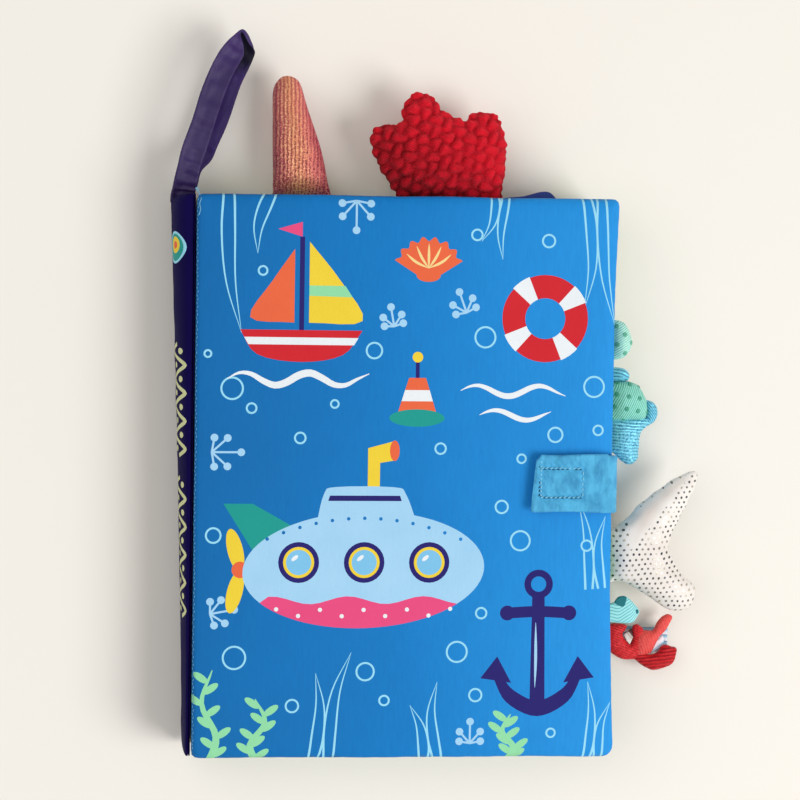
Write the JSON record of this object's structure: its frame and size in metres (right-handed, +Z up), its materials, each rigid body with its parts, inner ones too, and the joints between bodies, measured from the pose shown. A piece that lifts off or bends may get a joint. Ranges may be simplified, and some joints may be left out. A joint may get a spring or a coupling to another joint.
{
  "type": "baby soft book",
  "caption": "Padded cloth book with folding leaves, stuffed fabric tails, a satin carry loop and a hook-and-loop closure tab.",
  "frame": {"origin": "middle of the back cover's resting face, on the ground with the closed book lying on its back cover", "axes": "+X from the spine to the fore-edge, +Y to the head of the book, +Z up through the closed book"},
  "size_m": [0.2239, 0.2985, 0.0382],
  "materials": {
    "cover_print": "printed woven cloth, satin sheen",
    "lining_print": "printed woven cloth",
    "navy_cloth": "plain woven cloth",
    "white_padding": "soft sheet wadding",
    "white_stuffing": "loose fibre filling",
    "crinkle_film": "thin glossy film",
    "turquoise_cloth": "woven cloth with stitching",
    "loop_pile": "loop pile tape",
    "hook_tape": "hook tape",
    "purple_satin": "satin ribbon",
    "pleated_lame": "pleated metallic cloth",
    "bobble_knit": "bobble knit",
    "green_rib": "ribbed cloth with printed dots",
    "teal_rib": "ribbed metallic cloth",
    "dotted_white": "plush with foil dots",
    "red_rib": "fine ribbed cloth",
    "wave_print": "ribbon with woven waves",
    "sky_ribbon": "grosgrain ribbon",
    "leaf_1_print": "printed woven cloth",
    "leaf_2_print": "printed woven cloth",
    "leaf_3_print": "printed woven cloth",
    "leaf_4_print": "printed woven cloth"
  },
  "bodies": {
    "back_cover": {"back_cover_outer": "cover_print", "back_cover_lining": "lining_print", "back_cover_padding": "white_padding"},
    "spine": {"spine_outer": "navy_cloth", "spine_lining": "lining_print", "spine_padding": "white_padding"},
    "front_cover": {"front_cover_outer": "cover_print", "front_cover_lining": "lining_print", "front_cover_padding": "white_padding", "loop_patch": "loop_pile"},
    "tab_side": {"closure_tab_side": "turquoise_cloth"},
    "tab_flap": {"closure_tab_flap": "turquoise_cloth", "hook_patch": "hook_tape"},
    "carry_strap": {"carry_strap": "purple_satin"},
    "leaf_1": {"leaf_1_front_page": "leaf_1_print", "leaf_1_back_page": "leaf_1_print", "leaf_1_wadding": "white_padding", "leaf_1_crinkle_film": "crinkle_film"},
    "leaf_2": {"leaf_2_front_page": "leaf_2_print", "leaf_2_back_page": "leaf_2_print", "leaf_2_wadding": "white_padding", "leaf_2_crinkle_film": "crinkle_film"},
    "leaf_3": {"leaf_3_front_page": "leaf_3_print", "leaf_3_back_page": "leaf_3_print", "leaf_3_wadding": "white_padding", "leaf_3_crinkle_film": "crinkle_film"},
    "leaf_4": {"leaf_4_front_page": "leaf_4_print", "leaf_4_back_page": "leaf_4_print", "leaf_4_wadding": "white_padding", "leaf_4_crinkle_film": "crinkle_film"},
    "horn": {"horn_front": "pleated_lame", "horn_back": "pleated_lame", "horn_filling": "white_stuffing"},
    "bobble": {"bobble_front": "bobble_knit", "bobble_back": "bobble_knit", "bobble_filling": "white_stuffing"},
    "dome": {"dome_front": "green_rib", "dome_back": "green_rib", "dome_filling": "white_stuffing"},
    "fin": {"fin_front": "dotted_white", "fin_back": "dotted_white", "fin_filling": "white_stuffing"},
    "shell": {"shell_front": "green_rib", "shell_back": "green_rib", "shell_filling": "white_stuffing", "top_lobe": "teal_rib", "side_flipper": "teal_rib", "lower_leg": "teal_rib"},
    "wave_ribbon": {"wave_ribbon": "wave_print"},
    "claw": {"claw_arm": "red_rib", "upper_pincer": "red_rib", "lower_pincer": "red_rib", "under_ribbon": "sky_ribbon"}
  },
  "joints": [
    {"name": "spine_fold", "type": "hinge", "parent": "back_cover", "child": "spine", "pos_m": [-0.08715, 0, 0.00275], "axis": [0, -1, 0], "range_deg": [0, 90]},
    {"name": "front_cover_fold", "type": "hinge", "parent": "spine", "child": "front_cover", "pos_m": [-0.08715, 0, 0.03175], "axis": [0, -1, 0], "range_deg": [0, 90]},
    {"name": "leaf_1_fold", "type": "hinge", "parent": "spine", "child": "leaf_1", "pos_m": [-0.08625, 0, 0.02595], "axis": [0, -1, 0], "range_deg": [0, 54]},
    {"name": "leaf_2_fold", "type": "hinge", "parent": "spine", "child": "leaf_2", "pos_m": [-0.08625, 0, 0.02015], "axis": [0, -1, 0], "range_deg": [0, 18]},
    {"name": "leaf_3_fold", "type": "hinge", "parent": "spine", "child": "leaf_3", "pos_m": [-0.08625, 0, 0.01435], "axis": [0, -1, 0], "range_deg": [-18, 0]},
    {"name": "leaf_4_fold", "type": "hinge", "parent": "spine", "child": "leaf_4", "pos_m": [-0.08625, 0, 0.00855], "axis": [0, -1, 0], "range_deg": [-54, 0]},
    {"name": "tab_side_fold", "type": "hinge", "parent": "back_cover", "child": "tab_side", "pos_m": [0.08715, 0, 0.00275], "axis": [0, 1, 0], "range_deg": [0, 90], "deforming": ["closure_tab_side"]},
    {"name": "tab_flap_fold", "type": "hinge", "parent": "tab_side", "child": "tab_flap", "pos_m": [0.08625, 0, 0.03595], "axis": [0, 1, 0], "range_deg": [0, 90], "deforming": ["closure_tab_flap", "hook_patch"]},
    {"name": "strap_swing", "type": "hinge", "parent": "spine", "child": "carry_strap", "pos_m": [-0.0911, 0.1156, 0.01725], "axis": [1, 0, 0], "range_deg": [-14, 30], "stiffness_Nm_per_rad": 0.02},
    {"name": "horn_flap", "type": "hinge", "parent": "leaf_3", "child": "horn", "pos_m": [-0.04275, 0.11545, 0.01435], "axis": [1, 0, 0], "range_deg": [-9, 30], "stiffness_Nm_per_rad": 0.02},
    {"name": "bobble_flap", "type": "hinge", "parent": "leaf_2", "child": "bobble", "pos_m": [0.0189, 0.11545, 0.02015], "axis": [1, 0, 0], "range_deg": [-14, 30], "stiffness_Nm_per_rad": 0.02},
    {"name": "dome_flap", "type": "hinge", "parent": "leaf_1", "child": "dome", "pos_m": [0.08745, 0.0577, 0.02595], "axis": [0, -1, 0], "range_deg": [-30, 30], "stiffness_Nm_per_rad": 0.02},
    {"name": "shell_flap", "type": "hinge", "parent": "leaf_3", "child": "shell", "pos_m": [0.08745, 0.0313, 0.01435], "axis": [0, -1, 0], "range_deg": [-18, 30], "stiffness_Nm_per_rad": 0.02},
    {"name": "fin_flap", "type": "hinge", "parent": "leaf_2", "child": "fin", "pos_m": [0.08745, -0.0338, 0.02015], "axis": [0, -1, 0], "range_deg": [-18, 30], "stiffness_Nm_per_rad": 0.02},
    {"name": "ribbon_flap", "type": "hinge", "parent": "leaf_3", "child": "wave_ribbon", "pos_m": [0.08745, -0.0579, 0.01435], "axis": [0, -1, 0], "range_deg": [-30, 30], "stiffness_Nm_per_rad": 0.02},
    {"name": "claw_flap", "type": "hinge", "parent": "leaf_4", "child": "claw", "pos_m": [0.08745, -0.0695, 0.00855], "axis": [0, -1, 0], "range_deg": [-6, 30], "stiffness_Nm_per_rad": 0.02}
  ],
  "couplings": [
    {"joint": "front_cover_fold", "follows": "spine_fold", "ratio": 1},
    {"joint": "leaf_1_fold", "follows": "spine_fold", "ratio": 0.6},
    {"joint": "leaf_2_fold", "follows": "spine_fold", "ratio": 0.2},
    {"joint": "leaf_3_fold", "follows": "spine_fold", "ratio": -0.2},
    {"joint": "leaf_4_fold", "follows": "spine_fold", "ratio": -0.6},
    {"joint": "tab_side_fold", "follows": "spine_fold", "ratio": 1},
    {"joint": "tab_flap_fold", "follows": "spine_fold", "ratio": 1}
  ]
}
